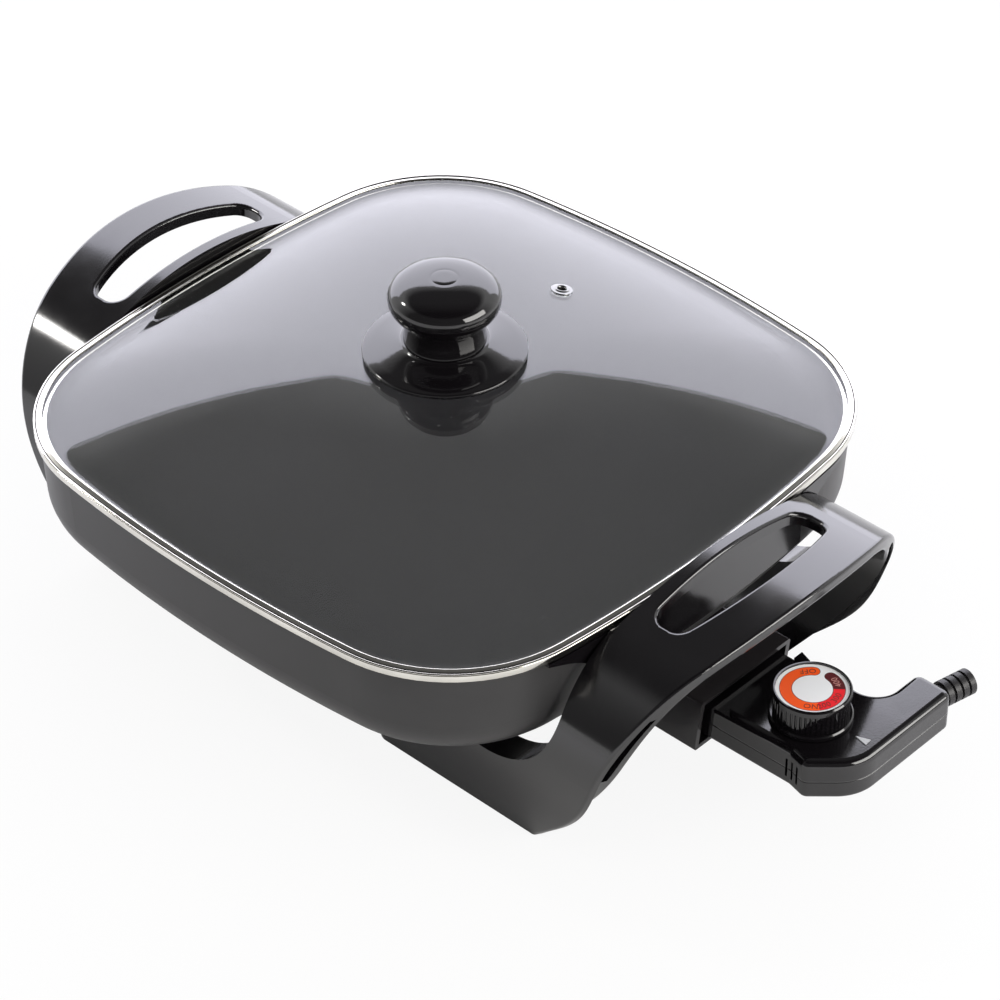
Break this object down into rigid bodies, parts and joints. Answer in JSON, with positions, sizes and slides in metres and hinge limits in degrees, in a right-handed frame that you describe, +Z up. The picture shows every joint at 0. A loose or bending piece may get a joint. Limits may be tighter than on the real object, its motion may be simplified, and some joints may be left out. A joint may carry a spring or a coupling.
{
  "type": "electric skillet",
  "caption": "Square electric frying pan with rounded corners on two moulded handle and leg frames, a lift-off domed glass lid and a plug-in dial controller.",
  "frame": {"origin": "on the worktop under the centre of the pan, level with the soles of the four feet", "axes": "+X runs towards the handle with the temperature controller, +Y along the handle bars, +Z up"},
  "size_m": [0.448, 0.305, 0.1784],
  "materials": {
    "pan_coating": "satin charcoal non-stick coating on die-cast aluminium, finely speckled inside",
    "element_sheath": "dull steel element sheath and pins",
    "ceramic_white": "matt white ceramic",
    "black_phenolic": "glossy black moulded phenolic",
    "guard_plastic": "semi-gloss black moulded plastic",
    "zinc_screw": "bright zinc-plated steel",
    "lid_glass": "clear polished tempered glass",
    "polished_steel": "polished stainless steel",
    "soft_rubber": "matt black rubber",
    "brass": "plain brass",
    "copper_strap": "plain copper",
    "bimetal": "rolled bimetal and spring strip",
    "contact_silver": "silver contact rivets",
    "dial_label": "light grey printed plate with orange and red scale arcs",
    "pointer_grey": "light grey print"
  },
  "bodies": {
    "root": {"pan": "pan_coating", "heating_element": "element_sheath", "element_pins": "element_sheath", "pin_insulators": "ceramic_white", "socket_guard": "guard_plastic", "guard_screws": "zinc_screw", "handle_right": "black_phenolic", "handle_left": "black_phenolic", "leg_screws": "zinc_screw"},
    "lid": {"lid_glass": "lid_glass", "lid_ring": "polished_steel", "vent_grommet": "polished_steel", "knob_seal": "soft_rubber", "knob_base": "black_phenolic", "lid_knob": "black_phenolic", "knob_insert": "brass", "knob_washer": "zinc_screw", "knob_screw": "zinc_screw"},
    "controller": {"upper_housing": "black_phenolic", "lower_housing": "black_phenolic", "housing_screws": "zinc_screw", "probe_rod": "polished_steel", "contact_sleeves": "brass", "sleeve_block": "ceramic_white", "thermostat_bracket": "ceramic_white", "bimetal_strip": "bimetal", "contact_arm": "bimetal", "silver_contacts": "contact_silver", "push_pin": "ceramic_white", "conductor_straps": "copper_strap", "cord_clamp": "guard_plastic", "strain_relief": "soft_rubber", "setting_pointer": "pointer_grey"},
    "dial": {"control_knob": "black_phenolic", "dial_plate": "dial_label", "dial_shaft": "element_sheath"}
  },
  "joints": [
    {"name": "lid_lift", "type": "slide", "parent": "root", "child": "lid", "axis": [0, 0, 1], "range_m": [0, 0.15]},
    {"name": "controller_pull", "type": "slide", "parent": "root", "child": "controller", "axis": [1, 0, 0], "range_m": [0, 0.12]},
    {"name": "dial_turn", "type": "hinge", "parent": "controller", "child": "dial", "pos_m": [0.209, 0, 0.0566], "axis": [0, 0, 1], "range_deg": [-80, 240]}
  ]
}
